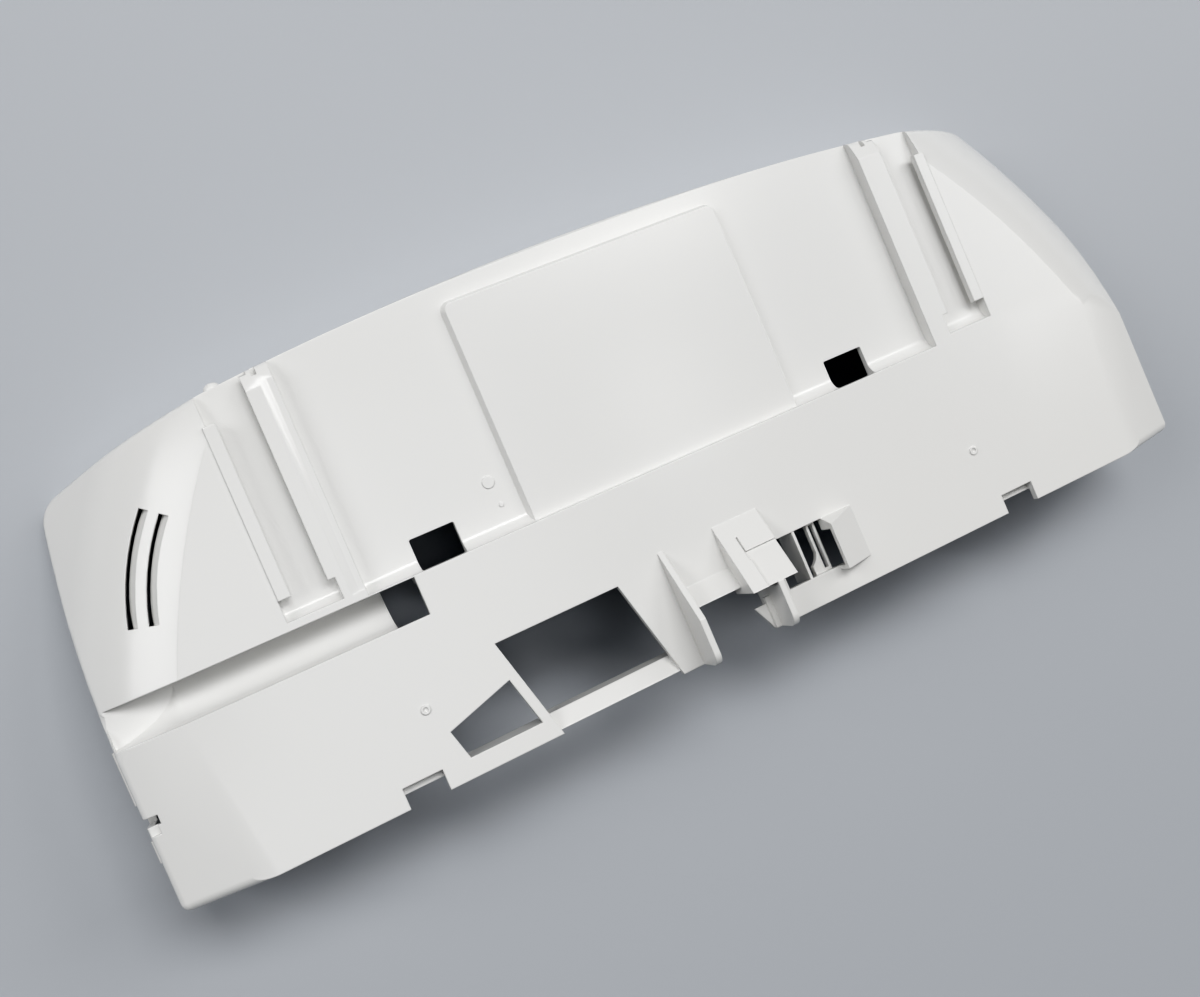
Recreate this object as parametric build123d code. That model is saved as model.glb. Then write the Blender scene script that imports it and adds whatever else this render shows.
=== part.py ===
from build123d import *
import os
from math import acos, cos, degrees, hypot, radians, sin, sqrt, tan

# A moulded ABS rear housing: an open tray-like shell that stands on its rim, outer face up.
# X runs along the housing, Y from the lower edge towards the arched top edge, Z up from the rim.

# ---- overall form ----
LENGTH = 378.4            # end to end
WIDTH = 145.8             # lower edge to the crown of the arched top edge
HEIGHT = 50.0             # rim to the face of the flat panel
WALL = 2.5                # general wall
ARCH_RADIUS = 1060.0      # plan curve of the top edge
SIDE_TAPER = 3.8          # how far each end draws in at the top corners
TAPER_DROP = 82.8         # from this far below the crown of the top edge
TOP_CORNER = 9.0          # plan radius between an end and the top edge
LOWER_CORNER = 3.0        # plan radius at the two ends of the lower edge

# ---- the shoulders: plain slopes at both ends, rolled ones along the top and round its corners ----
END_RUN = 22.0            # flat face ends this far from each end
END_ANGLE = 22.5          # slope from there to the end wall
TOP_RUN = 12.4            # flat face ends this far from the crown of the top edge
CORNER_AXIS_X = 66.0      # axis of each corner's roll, this far past the middle of the housing
CORNER_AXIS_DROP = 171.8  # and this far from the crown of the top edge
CORNER_MARGIN = 8.2       # least distance from its crease to the end wall's line
CREASE_ANGLE = 18.0       # slope of the roll where it leaves the flat face
ROLL_RADIUS = 64.0        # radius of the roll itself
ROLL_END_ANGLE = 55.0     # the roll runs out straight at this slope
WALL_ROUND = 3.0          # rounding where the shoulders meet the walls
FORM_MARGIN = 10.0        # how far the form runs past the plan outline
OPEN_EDGE = 3.0           # and the hollow past the open lower edge
UPRIGHT = 0.01            # a face is a wall when its normal leans less than this

# ---- recessed bay between the two guide ridges ----
FOLD_Y = 63.5             # lower edge of the bay
BAY_HALF = 105.5
BAY_DEPTH = 5.0
BAY_SWEEP = 4.5           # concave radius along the fold
PAD_HALF = 49.0           # raised pad in the middle of the bay
PAD_TOP = 137.2
PAD_RISE = 2.5
PAD_DRAFT = 25.0          # degrees, on the pad's sides
PAD_CORNER = 2.5

# ---- two guide channels with undercut lips ----
NECK_CENTRE = 120.4       # centre of each channel from the middle of the housing
NECK_WIDTH = 11.5
LIP = 2.0                 # thickness of the lips
SLOT_DEPTH = 4.6          # panel face to channel floor
OUTER_UNDERCUT = 4.1
INNER_UNDERCUT = 2.2
ENTRY_LOW = 65.6          # the wide entry pocket at the channel's lower end
ENTRY_HIGH = 72.5
ENTRY_SWEEP = 3.6         # concave radius at the entry's lower side
LIP_END = 127.8           # the outer lip stops here
LIP_RELIEF = 3.0          # the channel is this much wider beyond it
BEAD_WIDTH = 4.0          # low raised strip along the outer lip
BEAD_RISE = 0.4
REBATE_FOOT = 107.5       # the left ridge is stepped down beside the bay: level to here
REBATE_TOP = 110.0        # then up a slope to here
REBATE_DROP = 0.5
RIM_NOTCH = (109.5, 111.0)     # small notch where each ridge meets the top edge
RIM_NOTCH_DROP = 8.5      # its lower side, from the crown of the top edge
RIM_NOTCH_DEPTH = 4.0

# ---- cable trough in the left shoulder ----
TROUGH_HIGH = 63.1
TROUGH_RADIUS = 12.3
TROUGH_FLARE = 1.6        # it opens out by this much at the end wall
FLARE_ANGLE = 45.0
TROUGH_END = -101.3       # where it runs into its cable hole
CABLE_HOLE_LENGTH = 10.3

# ---- rectangular holes in the bay, beside the fold ----
BAY_HOLES = ((-87.6, 15.0), (65.6, 15.2))   # left side, length
BAY_HOLE_WIDTH = 10.3
HOLE_CORNER = 0.6
HOLE_SETBACK = 0.1

# ---- louvred vent slots, curved about one axis ----
VENT_AXIS_X = -95.0
VENT_AXIS_Y = 63.0
VENT_RADII = (71.4, 77.6)
VENT_WIDTH = 2.9
VENT_GAP = 0.9            # what stays open below the slanted blade
VENT_START = 140.0        # degrees about the axis
VENT_SWEEP = 26.0
VENT_BLADE = 1.7          # depth of the slanted blade at its lower side

# ---- lower edge ----
NOTCH_CENTRE = 112.7
NOTCH_LENGTH = 13.0
NOTCH_DEPTH = 6.7
FLANGE_SETBACK = 4.1
FLANGE_THICK = 2.0
FLANGE_DEPTH = 8.0
SMALL_WINDOW = ((-99.6, 15.8), (-77.0, 22.4), (-72.7, 6.1), (-97.0, 6.1))
WINDOW_TOP = 34.4
WINDOW_LEFT = -76.7       # at the window's top edge
WINDOW_LENGTH = 43.0
WINDOW_SLANT = 0.256      # sideways run of its sides for each mm down
BAR_LOW = 1.3             # the sunk bar that closes the window's lower side
BAR_HIGH = 7.0
BAR_DROP = 1.2
BAR_FALL = 2.8            # further drop of the bar's face across its width
BAR_DEPTH = 8.0

# ---- hinge bay: two ears, a lead-in lip and a hood ----
EAR_THICK = 2.1
EAR_NOSE = 4.2            # rounding of the ear's front corner
EAR_RISE = 13.5
EAR_CREST = 15.5          # the ear is full height below this line
EAR_ROOT = 38.8           # and runs out to nothing here
EAR_DROP = 9.0            # how far it carries on below the panel
LEFT_EAR = -17.5          # left face of each ear
RIGHT_EAR = 12.2
GAP_HIGH = 17.8           # upper edge of the gap between the ears
LIP_START = 24.8          # the panel turns up from here to the gap
LIP_RISE = 4.0
HOOD_LEFT = 2.8
HOOD_RIGHT = 19.7
HOOD_RISE = 12.5
HOOD_WALL = 2.0
HOOD_SOLID = 8.0          # the hood is solid this far from its root
STEP_LEFT = 8.5           # the hood's face is stepped down from here to its right side
STEP_BACK = 27.9
STEP_DROP = 0.8
HOOD_GROOVE = (25.0, 33.0)
GROOVE_WIDTH = 0.5
LEDGE_LENGTH = 10.8
LEDGE_WIDTH = 1.8
GUSSET_REACH = 4.2
GUSSET_HIGH = 8.6
GUSSET_THICK = 1.2

# ---- latch opening with its scoop ----
LATCH_LOW = 9.5
LATCH_HIGH = 26.5
LATCH_RIGHT = 39.5
LATCH_WALL = 28.0         # thin wall that stands in the opening
LATCH_WALL_THICK = 1.0
LATCH_WALL_DROP = 12.0
LATCH_WALL_TOP = 0.2
SPRING_LEFT = 34.7
SPRING_RIGHT = 38.0
SPRING_DROP = 3.0
SPRING_THICK = 2.2
SPRING_SLOT = 1.5
SPRING_LEG = 0.9
FOOT_FLARE = 3.0          # the finger's foot widens by this much
FOOT_LENGTH = 3.0
FOOT_RUN = 4.0
FOOT_SWEEP = 6.0
SCOOP_LENGTH = 12.0
SCOOP_RISE = 6.0
SCOOP_LOW = 8.1
SCOOP_BACK = 2.3          # slope of its upper side, in plan
SCOOP_WALL = 1.8

# ---- left end: snap pads and slot ----
PAD_PROUD = 1.4            # the pads stand this far out of the end wall
END_PADS = ((15.3, 22.3), (33.8, 50.8))     # from, to
END_PAD_DEPTH = 10.0
END_PAD_DROP = 8.0        # their tops are this far below the top of the end wall
END_SLOT = (27.2, 30.0)
END_SLOT_REACH = 4.6
END_STEP = 2.8            # shallow step beside the slot
END_STEP_REACH = 3.6
END_STEP_DROP = 0.4

# ---- locating peg on the top wall ----
PEG_X = -122.7
PEG_RADIUS = 2.8
PEG_ROUND = 2.2
PEG_REACH = 4.2
PEG_HEIGHT = 30.0         # above the rim

# ---- underside ----
RIB_THICK = 1.5
RIB_DEPTH = 7.0
RIB_LINES = (-150.0, -60.0, 60.0, 90.0, 150.0)
LONG_RIB_Y = 44.0
BOSSES = ((-170.0, 30.0), (170.0, 30.0), (-60.0, 52.0), (60.0, 52.0))
BOSS_RADIUS = 4.0
BOSS_BORE = 1.4
BOSS_CLEAR = 6.0          # the bosses stop this far above the rim
BOSS_BORE_DEPTH = 16.0
MARKS = ((-103.7, 25.1), (102.8, 25.1))     # ejector marks on the panel
MARK_RADIUS = 1.5
MARK_RISE = 0.35
PIPS = ((-57.6, 80.8, 2.0), (-56.5, 72.8, 0.8))   # x, y and radius
PIP_RISE = 0.25

OVER = 1.0                # how far a cut runs past the face it opens
FORM_DEPTH = HEIGHT + FORM_MARGIN
CORNER_AXIS_Y = WIDTH - CORNER_AXIS_DROP
TAPER_START = WIDTH - TAPER_DROP
CORNER_RADIUS = LENGTH / 2 + CORNER_AXIS_X - CORNER_MARGIN
END_TOP = -END_RUN * tan(radians(END_ANGLE))    # top of the end walls, from the panel face


def block(x0, x1, y0, y1, z0, z1):
    """A box between two corners, with z measured from the panel face."""
    return Pos((x0 + x1) / 2, (y0 + y1) / 2, HEIGHT + (z0 + z1) / 2) * Box(x1 - x0, y1 - y0, z1 - z0)


def bar_along_x(points, x0, x1):
    """A straight bar along X with the given (y, z) section, z from the panel face."""
    section = Plane.YZ * make_face(Polyline(*points, close=True))
    return Pos(x0, 0, HEIGHT) * extrude(section, amount=x1 - x0)


def plate(points, z0, z1):
    """A flat plate with the given (x, y) outline, z from the panel face."""
    return Pos(0, 0, HEIGHT + z0) * extrude(make_face(Polyline(*points, close=True)), amount=z1 - z0)


def recess_section(low, high, depth, radius):
    """Section of a recess whose lower side sweeps up to the panel in a concave quarter round."""
    start = (low, -(depth - radius))
    path = [
        Line((low, OVER), start),
        RadiusArc(start, (low + radius, -depth), -radius),
        Line((low + radius, -depth), (high, -depth)),
        Line((high, -depth), (high, OVER)),
        Line((high, OVER), (low, OVER)),
    ]
    return Plane.YZ * make_face(Curve() + path)


def swept_recess(low, high, depth, radius, x0, x1):
    section = recess_section(low, high, depth, radius)
    return Pos(x0, 0, HEIGHT) * extrude(section, amount=x1 - x0)


# ---- the shell ----
def arch_y(x, inset=0.0):
    """Y of the arched top edge at a distance from the middle."""
    return WIDTH - ARCH_RADIUS + sqrt((ARCH_RADIUS - inset) ** 2 - x ** 2)


def plan_outline(inset=0.0, low=0.0):
    """The housing seen from above, with its arched top edge, as it is or inset for the cavity."""
    half = LENGTH / 2 - inset
    corner_x = half - SIDE_TAPER
    corner_y = arch_y(corner_x, inset)
    side = TangentArc((half, TAPER_START), (corner_x, corner_y), tangent=(0, 1))
    path = [
        Line((-half, low), (half, low)),
        Line((half, low), (half, TAPER_START)),
        side,
        ThreePointArc((corner_x, corner_y), (0, WIDTH - inset), (-corner_x, corner_y)),
        mirror(side, Plane.YZ),
        Line((-half, TAPER_START), (-half, low)),
    ]
    face = make_face(Curve() + path)
    face = fillet(face.vertices().group_by(Axis.Y)[-1], TOP_CORNER - inset)
    return fillet(face.vertices().group_by(Axis.Y)[0], LOWER_CORNER - inset)


def roll_point(crease, angle, inset):
    """A point (r, z) on the roll at a slope, measured from its axis and the panel face."""
    centre_r = crease - ROLL_RADIUS * sin(radians(CREASE_ANGLE))
    centre_z = -ROLL_RADIUS * cos(radians(CREASE_ANGLE))
    radius = ROLL_RADIUS - inset
    return centre_r + radius * sin(radians(angle)), centre_z + radius * cos(radians(angle))


def roll_section(crease, near, inset):
    """Section of the form outwards from near: flat face, crease, roll and the slope below it."""
    level = ROLL_RADIUS * cos(radians(CREASE_ANGLE)) - inset
    first = degrees(acos(level / (ROLL_RADIUS - inset)))
    angles = (first, (first + ROLL_END_ANGLE) / 2, ROLL_END_ANGLE)
    start, middle, end = [roll_point(crease, angle, inset) for angle in angles]
    foot = (end[0] + (FORM_DEPTH + end[1]) / tan(radians(ROLL_END_ANGLE)), -FORM_DEPTH)
    return make_face(Curve() + [
        Line((near, -FORM_DEPTH), (near, -inset)),
        Line((near, -inset), start),
        ThreePointArc(start, middle, end),
        Line(end, foot),
        Line(foot, (near, -FORM_DEPTH)),
    ])


def end_form(inset):
    """The flat face with the plain slopes at both ends."""
    slope = radians(END_ANGLE)
    crease = LENGTH / 2 - END_RUN - inset * tan(slope / 2)
    foot = crease + (FORM_DEPTH - inset) / tan(slope)
    section = Polyline(
        (-foot, -FORM_DEPTH), (-crease, -inset), (crease, -inset), (foot, -FORM_DEPTH), close=True)
    length = WIDTH + 2 * FORM_MARGIN
    return Pos(0, -FORM_MARGIN, HEIGHT) * extrude(Plane.XZ * make_face(section), amount=-length)


def top_form(inset):
    """The flat face with the roll along the top edge."""
    section = Plane.YZ * roll_section(WIDTH - TOP_RUN, -FORM_MARGIN, inset)
    return Pos(-LENGTH / 2 - FORM_MARGIN, 0, HEIGHT) * extrude(section, amount=LENGTH + 2 * FORM_MARGIN)


def corner_form(side, inset):
    """The flat face with the roll round the left (-1) or right (1) corner."""
    turned = revolve(Plane.XZ * roll_section(CORNER_RADIUS, 0, inset), Axis.Z)
    return Pos(-side * CORNER_AXIS_X, CORNER_AXIS_Y, HEIGHT) * turned


def form(inset):
    """The form of the shell without its walls, as the outside or inset for the cavity."""
    return top_form(inset) & end_form(inset) & corner_form(-1, inset) & corner_form(1, inset)


def corner_height(x, y):
    """Height of the rolled corner, from the panel face, at a point beyond its crease."""
    reach = hypot(abs(x) + CORNER_AXIS_X, y - CORNER_AXIS_Y)
    slope = sin(radians(CREASE_ANGLE)) + (reach - CORNER_RADIUS) / ROLL_RADIUS
    return ROLL_RADIUS * (sqrt(1 - slope ** 2) - cos(radians(CREASE_ANGLE)))


def outer_body():
    """The housing as a solid, rounded where its walls meet the shoulders."""
    body = extrude(plan_outline(), amount=HEIGHT) & form(0)
    walls = [face for face in body.faces() if abs(face.normal_at().Z) < UPRIGHT and face.center().Y > OVER]
    rims = [edge for face in walls for edge in face.edges() if edge.bounding_box().min.Z > OVER]
    return fillet(rims, WALL_ROUND)


def cavity():
    """The hollow under the shell, open at the rim and along the lower edge."""
    hollow = extrude(plan_outline(WALL, -OPEN_EDGE), amount=HEIGHT + OVER)
    return Pos(0, 0, -OVER) * hollow & form(WALL)


# ---- solid under each recess, which the cavity leaves standing ----
def bay_tray():
    return block(-BAY_HALF - WALL, BAY_HALF + WALL, FOLD_Y - WALL, WIDTH, -BAY_DEPTH - WALL, 0)


def channel_sides(side):
    """X of the neck's inner and outer edges for the left (-1) or right (1) channel."""
    inner = side * (NECK_CENTRE - NECK_WIDTH / 2)
    outer = side * (NECK_CENTRE + NECK_WIDTH / 2)
    return inner, outer


def span(a, b):
    return min(a, b), max(a, b)


def channel_tray(side):
    inner, outer = channel_sides(side)
    x0, x1 = span(inner - side * (INNER_UNDERCUT + WALL), outer + side * (OUTER_UNDERCUT + WALL))
    return block(x0, x1, ENTRY_LOW - WALL, WIDTH, -SLOT_DEPTH - WALL, 0)


def channel_cut(side):
    """Neck, undercut and entry pocket of one guide channel."""
    inner, outer = channel_sides(side)
    n0, n1 = span(inner, outer)
    u0, u1 = span(inner - side * INNER_UNDERCUT, outer + side * OUTER_UNDERCUT)
    r0, r1 = span(inner - side * INNER_UNDERCUT, outer + side * LIP_RELIEF)
    w0, w1 = span(outer, outer + side * LIP_RELIEF)
    neck = block(n0, n1, ENTRY_HIGH - OVER, WIDTH + OVER, -SLOT_DEPTH, OVER)
    under = block(u0, u1, ENTRY_HIGH - OVER, LIP_END, -SLOT_DEPTH, -LIP)
    under += block(r0, r1, LIP_END, WIDTH + OVER, -SLOT_DEPTH, -LIP)
    entry = swept_recess(ENTRY_LOW, ENTRY_HIGH, SLOT_DEPTH, ENTRY_SWEEP, u0, u1)
    relief = block(w0, w1, LIP_END, WIDTH + OVER, -SLOT_DEPTH, OVER)
    return neck + under + entry + relief


def lip_bead(side):
    outer = channel_sides(side)[1]
    x0, x1 = span(outer, outer + side * BEAD_WIDTH)
    return block(x0, x1, ENTRY_HIGH, LIP_END, -LIP / 2, BEAD_RISE)


def ridge_rebate():
    """The stepped side of the left ridge, between the bay and the channel."""
    near = BAY_HALF - OVER
    section = [(-near, OVER), (-near, -REBATE_DROP), (-REBATE_FOOT, -REBATE_DROP),
               (-REBATE_TOP, 0), (-REBATE_TOP, OVER)]
    face = Plane.XZ * make_face(Polyline(*section, close=True))
    return Pos(0, ENTRY_LOW, HEIGHT) * extrude(face, amount=-WIDTH)


def rim_notch(side):
    x0, x1 = span(side * RIM_NOTCH[0], side * RIM_NOTCH[1])
    return block(x0, x1, WIDTH - RIM_NOTCH_DROP, WIDTH, -RIM_NOTCH_DEPTH, OVER)


def trough_tray():
    low = TROUGH_HIGH - TROUGH_RADIUS - WALL
    return block(-LENGTH / 2, TROUGH_END, low, TROUGH_HIGH + WALL, -TROUGH_RADIUS - WALL, 0)


def trough_cut():
    """The trough, which follows the sloping end down and flares at its mouth, and its cable hole."""
    low = TROUGH_HIGH - TROUGH_RADIUS
    crease = -LENGTH / 2 + END_RUN
    section = recess_section(low, TROUGH_HIGH, TROUGH_RADIUS, TROUGH_RADIUS)
    reach = LENGTH / 2 + TROUGH_END + 2 * OVER
    scoop = Pos(-LENGTH / 2 - OVER, 0, HEIGHT) * extrude(section, amount=reach)
    falling = extrude(section, amount=END_RUN + OVER, dir=(-1, 0, -tan(radians(END_ANGLE))))
    falling = Pos(crease, 0, HEIGHT) * falling
    falling &= block(-LENGTH, crease, low, TROUGH_HIGH, -TROUGH_RADIUS, OVER)
    wide = TROUGH_RADIUS + TROUGH_FLARE
    flare = recess_section(low - TROUGH_FLARE, TROUGH_HIGH, wide, wide)
    mouth = Pos(-LENGTH / 2, 0, HEIGHT) * extrude(flare, amount=TROUGH_FLARE, taper=FLARE_ANGLE)
    hole = block(TROUGH_END, TROUGH_END + CABLE_HOLE_LENGTH, low, TROUGH_HIGH,
                 -TROUGH_RADIUS - 2 * WALL, OVER)
    return scoop + falling + mouth + hole


def bay_pad():
    """The raised pad, drafted on its sides and rounded at its two upper corners."""
    sketch = Pos(0, (FOLD_Y - OVER + PAD_TOP) / 2) * Rectangle(2 * PAD_HALF, PAD_TOP - FOLD_Y + OVER)
    sketch = fillet(sketch.vertices().group_by(Axis.Y)[-1], PAD_CORNER)
    base = BAY_DEPTH + WALL / 2
    pad = extrude(Pos(0, 0, HEIGHT - base + PAD_RISE + WALL / 2) * sketch,
                  amount=-PAD_RISE - WALL / 2, taper=-PAD_DRAFT)
    return pad


def bay_holes():
    holes = []
    for left, length in BAY_HOLES:
        low = FOLD_Y + HOLE_SETBACK
        shape = block(left, left + length, low, low + BAY_HOLE_WIDTH, -BAY_DEPTH - 2 * WALL, OVER)
        holes.append(fillet(shape.edges().filter_by(Axis.Z), HOLE_CORNER))
    return holes


def vents():
    """Curved slots with one slanted blade each, turned about the vent axis."""
    start = radians(VENT_START)
    middle = radians(VENT_START + VENT_SWEEP / 2)
    radial = Vector(cos(start), sin(start), 0)
    origin = (VENT_AXIS_X, VENT_AXIS_Y, HEIGHT)
    plane = Plane(origin=origin, x_dir=radial, z_dir=radial.cross(Vector(0, 0, 1)))
    cuts = []
    for radius in VENT_RADII:
        inside, outside = radius - VENT_WIDTH / 2, radius + VENT_WIDTH / 2
        heights = [corner_height(VENT_AXIS_X + r * cos(middle), VENT_AXIS_Y + r * sin(middle))
                   for r in (inside, outside)]
        deep = heights[1] - VENT_BLADE
        section = Polyline(
            (inside, OVER), (outside, OVER), (outside, deep - 2 * WALL),
            (outside - VENT_GAP, deep - 2 * WALL), (outside - VENT_GAP, deep), (inside, heights[0]),
            close=True)
        turned = revolve(plane * make_face(section), Axis(origin, (0, 0, 1)), VENT_SWEEP)
        cuts.append(turned)
    return cuts


# ---- lower edge ----
def lower_flange():
    half = LENGTH / 2 - WALL / 2
    return block(-half, half, FLANGE_SETBACK, FLANGE_SETBACK + FLANGE_THICK,
                 -WALL - FLANGE_DEPTH, -WALL / 2)


def notches():
    return [block(side * NOTCH_CENTRE - NOTCH_LENGTH / 2, side * NOTCH_CENTRE + NOTCH_LENGTH / 2,
                  -OVER, NOTCH_DEPTH, -WALL - OVER, OVER) for side in (-1, 1)]


def window_side(x_top, y):
    return x_top + (WINDOW_TOP - y) * WINDOW_SLANT


def window_cut():
    """The large window: it cuts the whole lower edge, and the sunk bar bridges it again."""
    right = WINDOW_LEFT + WINDOW_LENGTH
    outline = [(WINDOW_LEFT, WINDOW_TOP), (right, WINDOW_TOP),
               (window_side(right, -OVER), -OVER), (window_side(WINDOW_LEFT, -OVER), -OVER)]
    return plate(outline, -WALL - FLANGE_DEPTH - OVER, OVER)


def small_window_cut():
    return plate(SMALL_WINDOW, -WALL - OVER, OVER)


def window_bar():
    """The sunk bar: a sloped lip with a flange below it."""
    face_low, face_high = -BAR_DROP, -BAR_DROP - BAR_FALL
    back = BAR_HIGH - FLANGE_THICK
    section = [(BAR_LOW, face_low), (BAR_HIGH, face_high), (BAR_HIGH, face_high - BAR_DEPTH),
               (back, face_high - BAR_DEPTH), (back, face_high - WALL), (BAR_LOW, face_low - WALL)]
    left = window_side(WINDOW_LEFT, BAR_HIGH) - OVER
    right = window_side(WINDOW_LEFT + WINDOW_LENGTH, 0) + OVER
    return bar_along_x(section, left, right)


# ---- hinge bay ----
def ear_body(section, left):
    """An ear from its (y, z) section, with its front corner rounded."""
    body = bar_along_x(section, left, left + EAR_THICK)
    nose = [e for e in body.edges().filter_by(Axis.X)
            if e.center().Y < OVER and e.center().Z > HEIGHT]
    return fillet(nose, EAR_NOSE)


def left_ear():
    """The free ear, which slopes down to the panel behind its crest."""
    return ear_body([(0, -EAR_DROP), (0, EAR_RISE), (EAR_CREST, EAR_RISE), (EAR_ROOT, 0),
                     (EAR_ROOT, -WALL), (EAR_CREST, -EAR_DROP)], LEFT_EAR)


def right_ear():
    """The short ear in front of the hood."""
    rise = HOOD_RISE - STEP_DROP
    return ear_body([(0, -EAR_DROP), (0, rise), (EAR_CREST, rise), (EAR_CREST, -EAR_DROP)], RIGHT_EAR)


def ear_gap():
    return block(LEFT_EAR + EAR_THICK, RIGHT_EAR, -OVER, GAP_HIGH, -WALL - FLANGE_DEPTH - OVER, OVER)


def lead_in_lip():
    """The panel's edge turned up between the left ear and the hood."""
    section = [(LIP_START, 0), (GAP_HIGH, LIP_RISE), (GAP_HIGH, LIP_RISE - WALL), (LIP_START, -WALL)]
    return bar_along_x(section, LEFT_EAR + EAR_THICK / 2, HOOD_LEFT + HOOD_WALL / 2)


def lead_in_cut():
    return block(LEFT_EAR + EAR_THICK, HOOD_LEFT, GAP_HIGH - OVER, LIP_START, -WALL - OVER, OVER)


def hood_slope(y):
    """Height of the hood's face over the panel at a distance from the lower edge."""
    return HOOD_RISE * (EAR_ROOT - y) / (EAR_ROOT - EAR_CREST)


def along_hood(low, high, drop, x0, x1):
    """What lies above a line parallel to the hood's slope, between two distances from the lower edge."""
    return bar_along_x([(low, hood_slope(low) - drop), (high, hood_slope(high) - drop),
                        (high, HOOD_RISE + OVER), (low, HOOD_RISE + OVER)], x0, x1)


def hood():
    """A wedge with a shallow step at its front right and a groove beside it."""
    section = [(EAR_ROOT, 0), (EAR_CREST, HOOD_RISE), (EAR_CREST, -WALL), (EAR_ROOT, -WALL)]
    body = bar_along_x(section, HOOD_LEFT, HOOD_RIGHT)
    body -= along_hood(EAR_CREST - OVER, STEP_BACK, STEP_DROP, STEP_LEFT, HOOD_RIGHT + OVER)
    return body - along_hood(*HOOD_GROOVE, STEP_DROP, STEP_LEFT - GROOVE_WIDTH, STEP_LEFT)


def hood_hollow():
    """The space under the hood, open downwards and towards the lower edge."""
    back = EAR_ROOT - HOOD_SOLID
    front = EAR_CREST - OVER
    run = EAR_ROOT - EAR_CREST
    drop = HOOD_WALL * sqrt(HOOD_RISE ** 2 + run ** 2) / run
    section = [(back, hood_slope(back) - drop), (front, hood_slope(front) - drop),
               (front, -WALL - OVER), (back, -WALL - OVER)]
    return bar_along_x(section, HOOD_LEFT + HOOD_WALL, HOOD_RIGHT - HOOD_WALL)


def ear_ledge():
    """The ledge along the right ear, with a small gusset."""
    left = RIGHT_EAR - LEDGE_WIDTH
    ledge = block(left, RIGHT_EAR + OVER, 0, LEDGE_LENGTH, -WALL, 0)
    corners = [(left - GUSSET_REACH, GUSSET_HIGH), (left + OVER, GUSSET_HIGH), (left + OVER, 0), (left, 0)]
    return ledge + plate(corners, -WALL, -WALL + GUSSET_THICK)


# ---- latch opening ----
def latch_cut():
    return block(HOOD_RIGHT, LATCH_RIGHT, LATCH_LOW, LATCH_HIGH, -WALL - OVER, OVER)


def latch_wall():
    return block(LATCH_WALL, LATCH_WALL + LATCH_WALL_THICK, LATCH_LOW - OVER, LATCH_HIGH + OVER,
                 -LATCH_WALL_DROP, -LATCH_WALL_TOP)


def latch_spring():
    """A slotted spring finger with a flared foot, a little below the panel."""
    low, high = LATCH_LOW - OVER, LATCH_HIGH + OVER
    foot = SPRING_LEFT - FOOT_FLARE
    flare_low, flare_high = LATCH_LOW + FOOT_LENGTH, LATCH_LOW + FOOT_LENGTH + FOOT_RUN
    outline = Curve() + [
        Line((SPRING_RIGHT, low), (SPRING_RIGHT, high)),
        Line((SPRING_RIGHT, high), (SPRING_LEFT, high)),
        Line((SPRING_LEFT, high), (SPRING_LEFT, flare_high)),
        RadiusArc((SPRING_LEFT, flare_high), (foot, flare_low), FOOT_SWEEP),
        Line((foot, flare_low), (foot, low)),
        Line((foot, low), (SPRING_RIGHT, low)),
    ]
    body = Pos(0, 0, HEIGHT - SPRING_DROP) * extrude(make_face(outline), amount=-SPRING_THICK)
    slot_left = SPRING_LEFT + SPRING_LEG
    slot = block(slot_left, slot_left + SPRING_SLOT, LATCH_LOW + SPRING_LEG, LATCH_HIGH - SPRING_LEG,
                 -SPRING_DROP - SPRING_THICK - OVER, 0)
    hangers = block(foot, SPRING_RIGHT, low, LATCH_LOW, -SPRING_DROP - SPRING_THICK, -WALL / 2)
    hangers += block(SPRING_LEFT, SPRING_RIGHT, LATCH_HIGH, high, -SPRING_DROP - SPRING_THICK, -WALL / 2)
    return body - slot + hangers


def scoop_outline(inset, back):
    """Section of the scoop along X: a wedge that is high at the latch opening."""
    return [(LATCH_RIGHT, SCOOP_RISE - inset), (LATCH_RIGHT + SCOOP_LENGTH - back, 0),
            (LATCH_RIGHT + SCOOP_LENGTH - back, -WALL), (LATCH_RIGHT, -WALL)]


def scoop():
    """A wedge-shaped hood that opens towards the latch."""
    wedge = Plane.XZ * make_face(Polyline(*scoop_outline(0, 0), close=True))
    high = LATCH_HIGH - SCOOP_LOW
    body = Pos(0, SCOOP_LOW, HEIGHT) * extrude(wedge, amount=-high)
    cut = bar_along_x([(LATCH_HIGH, 0), (LATCH_HIGH - SCOOP_BACK, SCOOP_RISE),
                       (LATCH_HIGH - SCOOP_BACK, SCOOP_RISE + OVER), (LATCH_HIGH + OVER, SCOOP_RISE + OVER),
                       (LATCH_HIGH + OVER, 0)], LATCH_RIGHT - OVER, LATCH_RIGHT + SCOOP_LENGTH + OVER)
    return body - cut


def scoop_hollow():
    run = SCOOP_LENGTH
    drop = SCOOP_WALL * sqrt(SCOOP_RISE ** 2 + run ** 2) / run
    mouth = LATCH_RIGHT - OVER
    tip = LATCH_RIGHT + run * (1 - drop / SCOOP_RISE)
    outline = [(mouth, SCOOP_RISE * (run + OVER) / run - drop), (tip, 0),
               (tip, -WALL - OVER), (mouth, -WALL - OVER)]
    wedge = Plane.XZ * make_face(Polyline(*outline, close=True))
    length = LATCH_HIGH - SCOOP_BACK - SCOOP_WALL - LATCH_LOW
    return Pos(0, LATCH_LOW, HEIGHT) * extrude(wedge, amount=-length)


# ---- ends, peg and marks ----
def end_pads():
    wall = -LENGTH / 2
    top = END_TOP - END_PAD_DROP
    return [block(wall - PAD_PROUD, wall + WALL / 2, low, high, top - END_PAD_DEPTH, top)
            for low, high in END_PADS]


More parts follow.
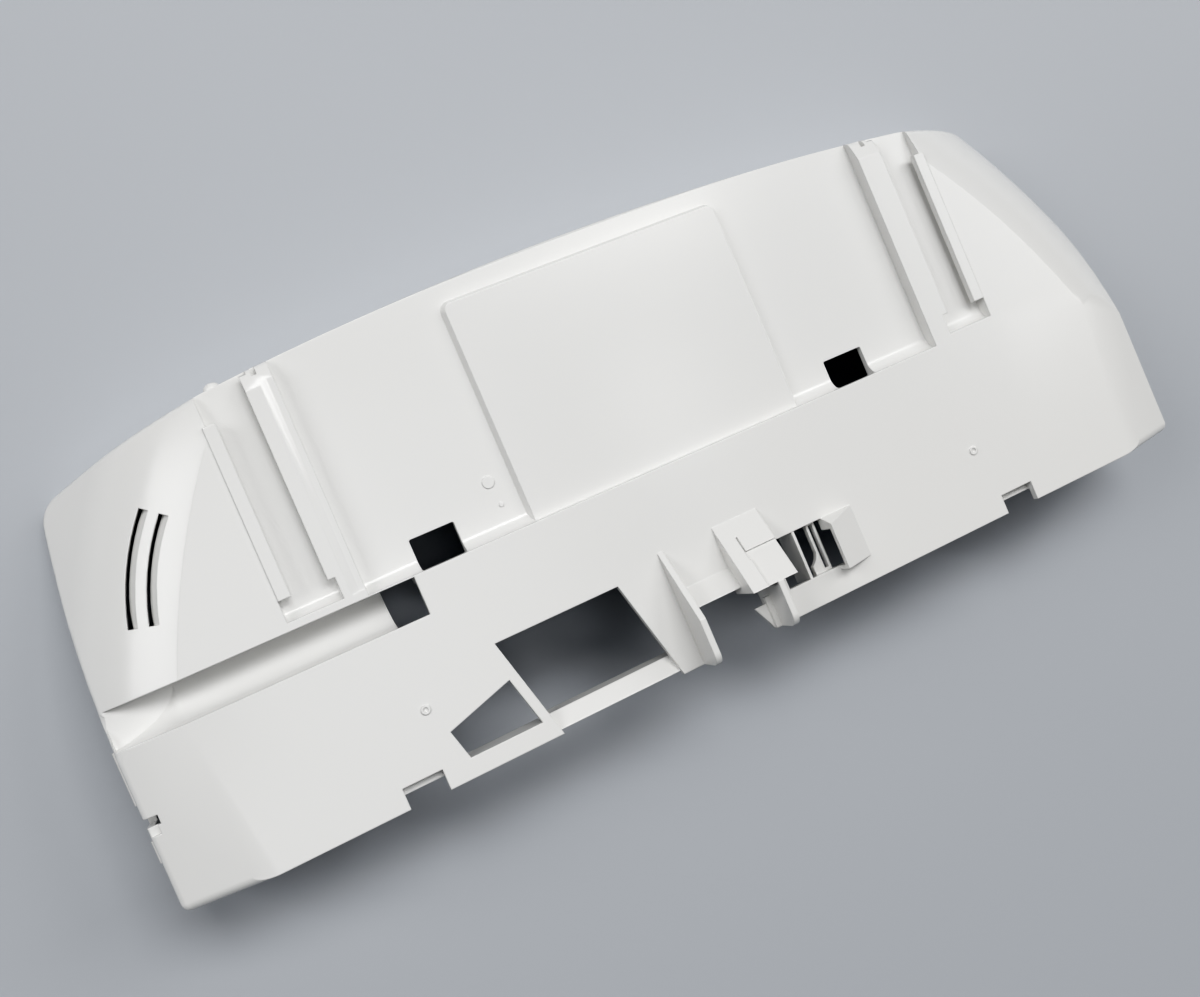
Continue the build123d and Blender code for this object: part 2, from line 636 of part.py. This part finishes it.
def end_slot():
    """The slot, with a shallow step beside it."""
    wall = -LENGTH / 2
    left = wall - PAD_PROUD - OVER
    low, high = END_SLOT
    slot = block(left, wall + END_SLOT_REACH, low, high, END_TOP - END_PAD_DEPTH, OVER)
    step = block(left, wall + END_STEP_REACH, low - END_STEP, low + OVER, END_TOP - END_STEP_DROP, OVER)
    return slot + step


def peg():
    pin = Pos(PEG_X, arch_y(PEG_X) - WALL / 2, PEG_HEIGHT) * Rot(-90, 0, 0) * Cylinder(
        PEG_RADIUS, PEG_REACH + WALL / 2, align=(Align.CENTER, Align.CENTER, Align.MIN))
    tip = pin.edges().group_by(Axis.Y)[-1]
    return fillet(tip, PEG_ROUND)


def marks():
    """Raised ejector rings on the panel and round pips on the floor of the bay."""
    rings = []
    for x, y in MARKS:
        ring = Cylinder(MARK_RADIUS, 2 * MARK_RISE) - Cylinder(MARK_RADIUS / 2, 2 * MARK_RISE)
        rings.append(Pos(x, y, HEIGHT) * ring)
    pips = [Pos(x, y, HEIGHT - BAY_DEPTH) * Cylinder(radius, 2 * PIP_RISE) for x, y, radius in PIPS]
    return rings + pips


# ---- underside ----
def ribs():
    """Cross ribs and one long rib under the flat panel."""
    low, high = -WALL - RIB_DEPTH, -WALL / 2
    half = RIB_THICK / 2
    cross = [block(x - half, x + half, FLANGE_SETBACK, FOLD_Y, low, high) for x in RIB_LINES]
    end = LENGTH / 2 - WALL / 2
    return cross + [block(-end, end, LONG_RIB_Y, LONG_RIB_Y + RIB_THICK, low, high)]


def upright_pins(radius, foot, length):
    """A round pin at each boss position, from a height above the rim."""
    base = (Align.CENTER, Align.CENTER, Align.MIN)
    return [Pos(x, y, foot) * Cylinder(radius, length, align=base) for x, y in BOSSES]


def bosses():
    return upright_pins(BOSS_RADIUS, BOSS_CLEAR, HEIGHT - BOSS_CLEAR - WALL / 2)


def boss_bores():
    return upright_pins(BOSS_BORE, BOSS_CLEAR - OVER, BOSS_BORE_DEPTH + OVER)


def housing():
    body = outer_body()
    hollow = cavity() - bay_tray() - channel_tray(-1) - channel_tray(1) - trough_tray()
    body -= hollow
    inside = extrude(plan_outline(), amount=HEIGHT) & form(WALL / 2)
    body += [part & inside for part in ribs() + bosses() + [lower_flange()]]
    body -= [swept_recess(FOLD_Y, WIDTH + OVER, BAY_DEPTH, BAY_SWEEP, -BAY_HALF, BAY_HALF)]
    body += bay_pad() & form(0)
    body += [lip_bead(-1), lip_bead(1)]
    body -= [ridge_rebate(), rim_notch(-1), rim_notch(1)]
    body -= [channel_cut(-1), channel_cut(1), trough_cut()] + bay_holes() + vents()
    body -= notches() + [window_cut(), small_window_cut(), ear_gap(), lead_in_cut()]
    body += [window_bar(), left_ear(), right_ear(), lead_in_lip(), hood(), ear_ledge(), scoop()]
    body -= [hood_hollow(), latch_cut(), scoop_hollow()]
    body += [latch_wall(), latch_spring(), peg()] + end_pads()
    body -= [end_slot()] + boss_bores()
    body += marks()
    return Pos(0, -WIDTH / 2, 0) * body


if __name__ == "__main__":
    os.makedirs("parts", exist_ok=True)
    part = housing()
    print("solids", len(part.solids()), "volume", round(part.volume), "valid", part.is_valid)
    export_step(part, "parts/housing.step")
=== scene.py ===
import math

import bmesh
import bpy
from mathutils import Matrix, Vector


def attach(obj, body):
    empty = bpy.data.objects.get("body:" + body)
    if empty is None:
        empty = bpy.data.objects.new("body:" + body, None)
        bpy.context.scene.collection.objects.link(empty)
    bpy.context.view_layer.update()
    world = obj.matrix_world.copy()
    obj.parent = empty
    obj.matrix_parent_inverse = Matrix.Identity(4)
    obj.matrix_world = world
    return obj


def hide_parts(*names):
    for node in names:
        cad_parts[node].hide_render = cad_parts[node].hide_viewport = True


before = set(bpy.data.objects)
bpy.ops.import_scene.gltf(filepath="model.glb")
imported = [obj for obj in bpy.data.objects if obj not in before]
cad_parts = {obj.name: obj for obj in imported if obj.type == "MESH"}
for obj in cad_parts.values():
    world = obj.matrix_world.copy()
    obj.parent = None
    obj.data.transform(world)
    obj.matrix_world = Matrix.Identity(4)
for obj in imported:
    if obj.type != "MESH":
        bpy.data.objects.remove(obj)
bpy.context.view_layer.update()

bl_info = {
    "name": "Moulded housing finish",
    "version": (1, 0, 0),
    "blender": (4, 5, 0),
    "location": "3D View > Sidebar > Housing",
    "description": "Finish, stage and camera for a moulded plastic housing",
    "category": "Object",
}

MM = 0.001
LEVEL = 0.99999                 # a face is level if its normal's Z is more than this
LEAN = 0.02                     # a roll leans along Y by more than this, and the plain end slopes don't
TOE = ((0.03, 0.004), (0.1, 0.055), (0.25, 0.22), (0.45, 0.45))    # light and how it is shown
LIGHTS = (                      # name, place and size
    ("key", (0.8, 1.9, 4.0), (3.2, 1.4)),
    ("left", (-2.7, 1.35, 2.1), (1.8, 1.8)),
    ("right", (2.7, 0.75, 2.4), (1.8, 1.8)),
    ("overhead", (0.0, -0.3, 4.5), (2.0, 2.0)),
    ("lamp", (0.58, 0.04, 1.6), (0.22, 0.12)),
)
MERGE_DISTANCE = 0.001 * MM     # corners nearer than this become one
NORMAL_WEIGHT = 100             # how far the larger faces set the shading of a corner

# surface of the plastic: scales are in waves per metre, along X, Y and Z where there are three
FRECKLES = ((75 * MM, 130 * MM), (-66 * MM, -27 * MM))    # span along X and Y of the freckled patch
FRECKLE_FADE = 14 * MM
FRECKLE_SCALE = 900.0
FRECKLE_RANGE = (0.6, 0.68)     # noise below the first is bare, and above the second is a full freckle
RIPPLE_SCALE = (9.0, 4.0, 6.0)
FLOW_SCALE = (22.0, 90.0, 40.0)
FLOW_TURN = math.radians(-20)
FLOW_SHARE = 0.1                # height of the flow lines, as a share of the ripple
SKIN_SCALE = 420.0
HAZE_SCALE = 14.0
HAZE_DEPTH = 0.05               # how much the haze adds to the roughness
WIPE_SCALE = (60.0, 700.0, 300.0)
WIPE_TURN = math.radians(12)
WIPE_DEPTH = 0.04
WARMTH_SCALE = 5.0
WARMTH_RANGE = (0.3, 0.7)       # noise at which the plastic is plain, and at which it is warm
PLASTIC_IOR = 1.5
BEVEL_SAMPLES = 8
COLOUR_A, COLOUR_B, COLOUR_RESULT = 6, 7, 2    # the mix node's colour sockets, whose names repeat

# room, floor and camera
ROOM_COLOUR = (0.93, 0.96, 1.0)
FLOOR_HAZE_SCALE = 3.0
FLOOR_HAZE = 0.06
FLOOR_ROUGHNESS = 0.5
COMBINED_CURVE = 3              # the curve that acts on red, green and blue together
CAMERA_RIGHT = (0.8809, -0.3958, 0.2597)
CAMERA_BACK = (-0.2710, 0.0281, 0.9622)
SENSOR_WIDTH = 36
CLIP_START = 0.01


# ---- settings that a user would change ----
class HousingFinishSettings(bpy.types.PropertyGroup):
    """Colour and surface of the moulded plastic."""

    plastic: bpy.props.FloatVectorProperty(
        name="Plastic colour", description="Colour of the moulded plastic",
        subtype="COLOR", size=3, min=0, max=1, default=(0.80, 0.798, 0.785))
    gloss: bpy.props.FloatProperty(
        name="Roughness", description="Roughness of the polished faces",
        min=0, max=1, default=0.2)
    soft_edge: bpy.props.FloatProperty(
        name="Edge rounding", description="Radius over which each moulded edge catches the light",
        subtype="DISTANCE", unit="LENGTH", min=0, max=0.002, default=0.5 * MM)
    edge_angle: bpy.props.FloatProperty(
        name="Edge angle", description="Faces that meet at more than this are shaded as an edge",
        subtype="ANGLE", min=0, max=math.pi, default=math.radians(24))
    crease_angle: bpy.props.FloatProperty(
        name="Crease angle", description="A roll that starts at more than this has a crisp crease",
        subtype="ANGLE", min=0, max=math.pi, default=math.radians(15))
    step_angle: bpy.props.FloatProperty(
        name="Step angle", description="The low slope beside the left ridge is steeper than this",
        subtype="ANGLE", min=0, max=math.pi, default=math.radians(8))
    plastic_warm: bpy.props.FloatVectorProperty(
        name="Warm plastic colour", description="Colour where the plastic is slightly warmer",
        subtype="COLOR", size=3, min=0, max=1, default=(0.808, 0.802, 0.782))
    ripple: bpy.props.FloatProperty(
        name="Flow ripple", description="Height of the long low waves in the polished faces",
        subtype="DISTANCE", unit="LENGTH", min=0, max=0.001, default=0.2 * MM)
    skin: bpy.props.FloatProperty(
        name="Skin", description="Height of the fine pebbling of the polished faces",
        subtype="DISTANCE", unit="LENGTH", min=0, max=0.001, default=0.0008 * MM)
    freckle: bpy.props.FloatProperty(
        name="Freckles", description="Height of the freckles right of the scoop",
        subtype="DISTANCE", unit="LENGTH", min=0, max=0.001, default=0.006 * MM)


class StageSettings(bpy.types.PropertyGroup):
    """Floor, lights and camera."""

    floor: bpy.props.FloatVectorProperty(
        name="Floor colour", description="Colour of the plain floor",
        subtype="COLOR", size=3, min=0, max=1, default=(0.455, 0.475, 0.505))
    backdrop: bpy.props.FloatVectorProperty(
        name="Backdrop colour", description="Colour seen beyond the floor",
        subtype="COLOR", size=3, min=0, max=1, default=(0.40, 0.415, 0.44))
    floor_size: bpy.props.FloatProperty(
        name="Floor size", description="Side of the square floor",
        subtype="DISTANCE", unit="LENGTH", min=1, max=40, default=12)
    key_power: bpy.props.FloatProperty(
        name="Key light", description="Power of the broad soft light high behind the top edge", unit="POWER",
        min=0, max=500, default=104)
    left_power: bpy.props.FloatProperty(
        name="Left light", description="Power of the soft light beyond the left end", unit="POWER",
        min=0, max=500, default=42)
    right_power: bpy.props.FloatProperty(
        name="Right light", description="Power of the soft light beyond the right end", unit="POWER",
        min=0, max=500, default=33)
    overhead_power: bpy.props.FloatProperty(
        name="Overhead light", description="Power of the soft light overhead", unit="POWER",
        min=0, max=500, default=18)
    lamp_power: bpy.props.FloatProperty(
        name="Lamp", description="Power of the small light that the polished face mirrors", unit="POWER",
        min=0, max=500, default=0.3)
    sky: bpy.props.FloatProperty(
        name="Room light", description="Strength of the even light of the room",
        min=0, max=5, default=0.06)
    eye: bpy.props.FloatVectorProperty(
        name="Camera place", description="Where the camera stands",
        subtype="TRANSLATION", unit="LENGTH", size=3, default=(-0.13063, -0.00006, 0.41573))
    lens: bpy.props.FloatProperty(
        name="Lens", description="Focal length on a 36 mm sensor", subtype="DISTANCE_CAMERA",
        min=10, max=300, default=36)


# ---- shader maths ----
class Wire:
    """A shader socket, or a plain number, that can be used in a Python expression."""

    def __init__(self, sheet, socket):
        self.sheet = sheet
        self.socket = socket

    def _maths(self, operation, *values):
        return self.sheet.node("ShaderNodeMath", {"operation": operation}, dict(enumerate(values)))

    def __add__(self, other):
        return self._maths("ADD", self, other)

    def __rsub__(self, other):
        return self._maths("SUBTRACT", other, self)

    def __mul__(self, other):
        return self._maths("MULTIPLY", self, other)

    def split(self):
        """The X and Y parts of a vector."""
        made = self.sheet.node("ShaderNodeSeparateXYZ", {}, {"Vector": self}).socket.node
        return Wire(self.sheet, made.outputs["X"]), Wire(self.sheet, made.outputs["Y"])

    def smooth_step(self, low, high):
        """0 below low and 1 above high, with a smooth change between them."""
        return self.sheet.node("ShaderNodeMapRange", {"interpolation_type": "SMOOTHSTEP"},
                               {"Value": self, "From Min": low, "From Max": high})


class ShaderSheet:
    """The node sheet of one material."""

    def __init__(self, name):
        self.material = bpy.data.materials.new(name)
        self.material.use_nodes = True
        self.tree = self.material.node_tree
        self.tree.nodes.clear()

    def node(self, kind, settings=None, sockets=None, output=0):
        """Adds a node: its settings first, then the values or links of its sockets."""
        made = self.tree.nodes.new(kind)
        for key, value in (settings or {}).items():
            setattr(made, key, value)
        for key, value in (sockets or {}).items():
            if isinstance(value, Wire):
                self.tree.links.new(value.socket, made.inputs[key])
            else:
                made.inputs[key].default_value = value
        return Wire(self, made.outputs[output])

    def place(self):
        """Object coordinates."""
        return self.node("ShaderNodeTexCoord", output="Object")

    def noise(self, vector, scale, detail):
        return self.node("ShaderNodeTexNoise", {"noise_dimensions": "3D"},
                         {"Vector": vector, "Scale": scale, "Detail": detail})

    def stretched(self, vector, scale, turn=0.0):
        return self.node("ShaderNodeMapping", {"vector_type": "POINT"},
                         {"Vector": vector, "Rotation": (0, 0, turn), "Scale": scale})

    def output(self, shader):
        last = self.tree.nodes.new("ShaderNodeOutputMaterial")
        self.tree.links.new(shader.socket, last.inputs["Surface"])
        return self.material


def patch(place, spans, fade):
    """1 inside a rectangle of X and Y spans, fading to 0 over a distance outside it."""
    inside = 1.0
    for (low, high), across in zip(spans, place.split()):
        inside = across.smooth_step(low - fade, low + fade) * inside
        inside = inside * (1 - across.smooth_step(high - fade, high + fade))
    return inside


def housing_plastic(finish):
    """Polished white plastic: flow ripples, a pebbled skin, freckles and softly rounded edges."""
    sheet = ShaderSheet("housing_plastic")
    place = sheet.place()
    wave = sheet.noise(sheet.stretched(place, RIPPLE_SCALE), 1.0, 1.0)
    flow = sheet.noise(sheet.stretched(place, FLOW_SCALE, FLOW_TURN), 1.0, 2.0)
    pebble = sheet.noise(place, SKIN_SCALE, 1.0)
    freckle = (sheet.noise(place, FRECKLE_SCALE, 1.0).smooth_step(*FRECKLE_RANGE)
               * patch(place, FRECKLES, FRECKLE_FADE))
    height = (wave * finish.ripple + flow * (FLOW_SHARE * finish.ripple) + pebble * finish.skin
              + freckle * finish.freckle)
    edge = sheet.node("ShaderNodeBevel", {"samples": BEVEL_SAMPLES}, {"Radius": finish.soft_edge})
    bump = sheet.node("ShaderNodeBump", {}, {"Height": height, "Strength": 1.0, "Distance": 1.0,
                                             "Normal": edge})
    haze = sheet.noise(place, HAZE_SCALE, 3.0)
    wipes = sheet.noise(sheet.stretched(place, WIPE_SCALE, WIPE_TURN), 1.0, 2.0)
    # noise lies round one half, so half of both depths is taken off to keep the set roughness
    rough = haze * HAZE_DEPTH + wipes * WIPE_DEPTH + (finish.gloss - (HAZE_DEPTH + WIPE_DEPTH) / 2)
    warm = sheet.noise(place, WARMTH_SCALE, 2.0).smooth_step(*WARMTH_RANGE)
    tint = sheet.node("ShaderNodeMix", {"data_type": "RGBA"},
                      {"Factor": warm, COLOUR_A: (*finish.plastic, 1),
                       COLOUR_B: (*finish.plastic_warm, 1)}, COLOUR_RESULT)
    shader = sheet.node("ShaderNodeBsdfPrincipled", {}, {
        "Base Color": tint, "Roughness": rough, "IOR": PLASTIC_IOR, "Normal": bump})
    return sheet.output(shader)


def floor_paint(stage):
    """Plain matt paint with a slight change in its gloss."""
    sheet = ShaderSheet("floor_paint")
    haze = sheet.noise(sheet.place(), FLOOR_HAZE_SCALE, 2.0)
    shader = sheet.node("ShaderNodeBsdfPrincipled", {}, {
        "Base Color": (*stage.floor, 1), "Roughness": haze * FLOOR_HAZE + FLOOR_ROUGHNESS})
    return sheet.output(shader)


# ---- pieces ----
def is_round(edge, finish):
    """Whether the faces beside an edge are facets of one round, and not a corner or a crease."""
    if len(edge.link_faces) != 2:
        return False
    angle = edge.calc_face_angle()
    level = [face for face in edge.link_faces if face.normal.z > LEVEL]
    leaning = [face for face in edge.link_faces if face.normal.z <= LEVEL]
    crease = False
    if level and leaning:
        rolled = abs(leaning[0].normal.y) > LEAN
        crease = angle > finish.crease_angle if rolled else finish.step_angle < angle < finish.crease_angle
    return angle < finish.edge_angle and not crease


class HOUSING_OT_shell(bpy.types.Operator):
    """The housing itself, with merged corners and smooth shading"""

    bl_idname = "housing.shell"
    bl_label = "Housing shell"

    def execute(self, context):
        finish = context.scene.housing_finish
        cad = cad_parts["housing"]
        mesh = cad.data.copy()
        mesh.name = "housing_shell"
        shell = bpy.data.objects.new("housing_shell", mesh)
        context.scene.collection.objects.link(shell)
        bm = bmesh.new()
        bm.from_mesh(mesh)
        bmesh.ops.remove_doubles(bm, verts=bm.verts, dist=MERGE_DISTANCE)
        for face in bm.faces:
            face.smooth = True
        for edge in bm.edges:
            edge.smooth = is_round(edge, finish)
        bm.to_mesh(mesh)
        bm.free()
        mesh.materials.clear()
        mesh.materials.append(housing_plastic(finish))
        even = shell.modifiers.new("even_shading", "WEIGHTED_NORMAL")
        even.mode = "FACE_AREA"
        even.weight = NORMAL_WEIGHT
        even.keep_sharp = True
        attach(shell, "root")
        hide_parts("housing")
        return {"FINISHED"}


def room(stage):
    """A dim even light, with a pale backdrop beyond the floor."""
    world = bpy.data.worlds.new("room")
    world.use_nodes = True
    nodes, links = world.node_tree.nodes, world.node_tree.links
    glow = nodes["Background"]
    glow.inputs["Color"].default_value = (*ROOM_COLOUR, 1)
    glow.inputs["Strength"].default_value = stage.sky
    backdrop = nodes.new("ShaderNodeBackground")
    backdrop.inputs["Color"].default_value = (*stage.backdrop, 1)
    seen = nodes.new("ShaderNodeLightPath").outputs["Is Camera Ray"]
    mix = nodes.new("ShaderNodeMixShader")
    links.new(seen, mix.inputs["Fac"])
    links.new(glow.outputs["Background"], mix.inputs[1])
    links.new(backdrop.outputs["Background"], mix.inputs[2])
    links.new(mix.outputs["Shader"], nodes["World Output"].inputs["Surface"])
    return world


def soft_light(stage, name, place, size):
    """A rectangular soft light that faces the object, with its power from the stage's settings."""
    data = bpy.data.lights.new(name, "AREA")
    data.shape = "RECTANGLE"
    data.size, data.size_y = size
    data.energy = getattr(stage, name + "_power")
    light = bpy.data.objects.new(name, data)
    light.location = place
    light.rotation_euler = (-Vector(place)).to_track_quat("-Z", "Y").to_euler()
    bpy.context.scene.collection.objects.link(light)


class HOUSING_OT_stage(bpy.types.Operator):
    """Plain floor, soft lights and the camera"""

    bl_idname = "housing.stage"
    bl_label = "Stage"

    def execute(self, context):
        stage = context.scene.housing_stage
        bm = bmesh.new()
        bmesh.ops.create_grid(bm, x_segments=1, y_segments=1, size=stage.floor_size / 2)
        mesh = bpy.data.meshes.new("floor")
        bm.to_mesh(mesh)
        bm.free()
        floor = bpy.data.objects.new("floor", mesh)
        mesh.materials.append(floor_paint(stage))
        context.scene.collection.objects.link(floor)

        context.scene.world = room(stage)
        for light in LIGHTS:
            soft_light(stage, *light)
        self.tone(context.scene.view_settings)
        self.add_camera(context, stage)
        return {"FINISHED"}

    def tone(self, view):
        """Plain colours, with the deepest shadows let down to black."""
        view.view_transform = "Standard"
        view.use_curve_mapping = True
        curve = view.curve_mapping.curves[COMBINED_CURVE]
        for light, shown in TOE:
            curve.points.new(light, shown)
        view.curve_mapping.update()

    def add_camera(self, context, stage):
        """A view down onto the outer face, turned so that the housing lies across the picture."""
        right = Vector(CAMERA_RIGHT).normalized()
        back = Vector(CAMERA_BACK).normalized()
        up = back.cross(right).normalized()
        right = up.cross(back)
        turn = Matrix((right, up, back)).transposed().to_4x4()
        data = bpy.data.cameras.new("camera")
        data.sensor_fit = "HORIZONTAL"
        data.sensor_width = SENSOR_WIDTH
        data.lens = stage.lens
        data.clip_start = CLIP_START
        camera = bpy.data.objects.new("camera", data)
        camera.matrix_world = Matrix.Translation(Vector(stage.eye)) @ turn
        context.scene.collection.objects.link(camera)
        context.scene.camera = camera


# ---- panel and start ----
OPERATORS = (HOUSING_OT_shell, HOUSING_OT_stage)


class HOUSING_PT_panel(bpy.types.Panel):
    """Lists the housing's steps"""

    bl_label = "Housing"
    bl_idname = "HOUSING_PT_panel"
    bl_space_type = "VIEW_3D"
    bl_region_type = "UI"
    bl_category = "Housing"

    def draw(self, context):
        column = self.layout.column()
        for operator in OPERATORS:
            column.operator(operator.bl_idname)
        for settings in (context.scene.housing_finish, context.scene.housing_stage):
            for name in settings.bl_rna.properties.keys():
                if name not in ("rna_type", "name"):
                    column.prop(settings, name)


CLASSES = (HousingFinishSettings, StageSettings, *OPERATORS, HOUSING_PT_panel)


def register():
    for cls in CLASSES:
        bpy.utils.register_class(cls)
    bpy.types.Scene.housing_finish = bpy.props.PointerProperty(type=HousingFinishSettings)
    bpy.types.Scene.housing_stage = bpy.props.PointerProperty(type=StageSettings)


def unregister():
    del bpy.types.Scene.housing_stage
    del bpy.types.Scene.housing_finish
    for cls in reversed(CLASSES):
        bpy.utils.unregister_class(cls)


def main():
    register()
    bpy.ops.housing.shell()
    bpy.ops.housing.stage()


if __name__ == "__main__":
    main()
